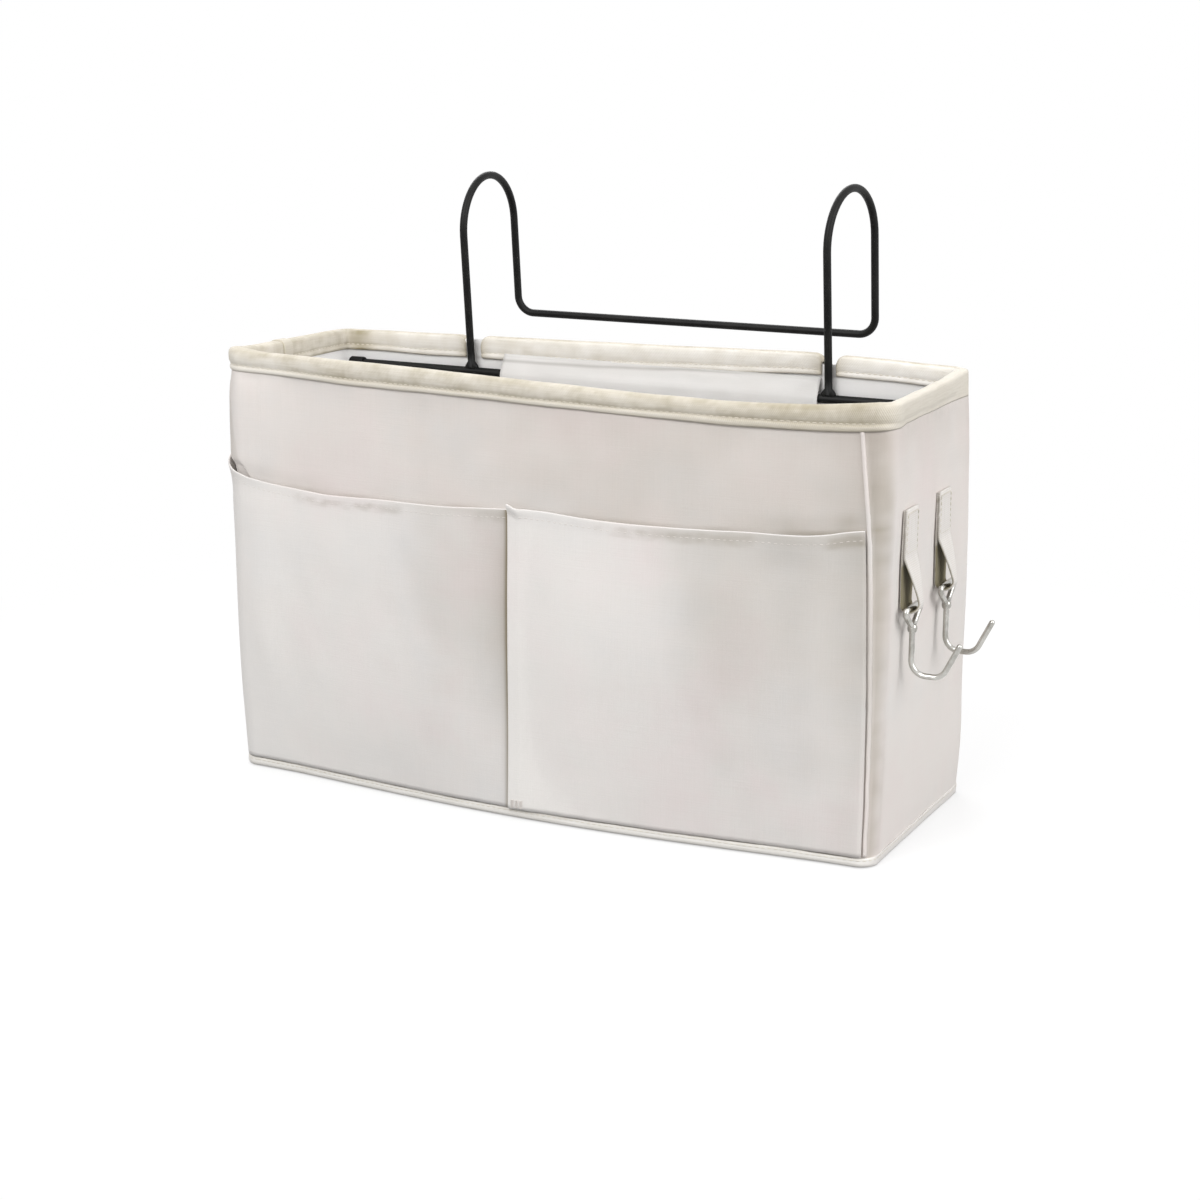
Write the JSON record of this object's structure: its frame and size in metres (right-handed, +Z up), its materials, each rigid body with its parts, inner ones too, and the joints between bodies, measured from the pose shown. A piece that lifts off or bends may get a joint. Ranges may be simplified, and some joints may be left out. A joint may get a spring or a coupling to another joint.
{
  "type": "bedside caddy",
  "caption": "Open-topped stiffened fabric box with front pockets, a tilting wire hanger that hooks over a bed rail, and small swinging hooks in webbing loops on one end.",
  "frame": {"origin": "middle of the flat base, on the surface that the caddy stands on", "axes": "+X to the right for someone facing the pockets, -Y the pocket side, +Y the rail side, +Z up"},
  "size_m": [0.3904, 0.1756, 0.3059],
  "materials": {
    "canvas": "off-white plain-weave canvas",
    "lining": "smooth white lining cloth",
    "board": "stiffener board, hidden",
    "tape": "beige woven binding",
    "webbing": "off-white webbing",
    "black_wire": "black coated steel wire, satin",
    "black_vinyl": "black vinyl end cap",
    "nickel": "bright nickel plate"
  },
  "bodies": {
    "bag": {"front_panel": "canvas", "right_side_panel": "canvas", "back_panel": "canvas", "left_side_panel": "canvas", "bottom_panel": "canvas", "front_board": "board", "right_board": "board", "back_board": "board", "left_board": "board", "bottom_board": "board", "front_lining": "lining", "right_lining": "lining", "back_lining": "lining", "left_lining": "lining", "bottom_lining": "lining", "rim_binding": "tape", "back_rim_binding": "tape", "base_binding": "tape", "left_pocket": "canvas", "right_pocket": "canvas", "bar_sleeve": "lining", "front_hook_tab": "webbing", "rear_hook_tab": "webbing"},
    "hanger": {"hanger_wire": "black_wire", "support_bar": "black_wire", "bar_cap_right": "black_vinyl", "bar_cap_left": "black_vinyl"},
    "front_side_hook": {"front_hook": "nickel"},
    "rear_side_hook": {"rear_hook": "nickel"}
  },
  "joints": [
    {"name": "hanger_tilt", "type": "hinge", "parent": "bag", "child": "hanger", "pos_m": [0, 0.03808, 0.20171], "axis": [1, 0, 0], "range_deg": [0, 75]},
    {"name": "front_hook_swing", "type": "hinge", "parent": "bag", "child": "front_side_hook", "pos_m": [0.18341, -0.03721, 0.1216], "axis": [0, -1, 0], "range_deg": [-6, 80]},
    {"name": "rear_hook_swing", "type": "hinge", "parent": "bag", "child": "rear_side_hook", "pos_m": [0.18341, 0.012, 0.1216], "axis": [0, -1, 0], "range_deg": [-6, 80]}
  ]
}
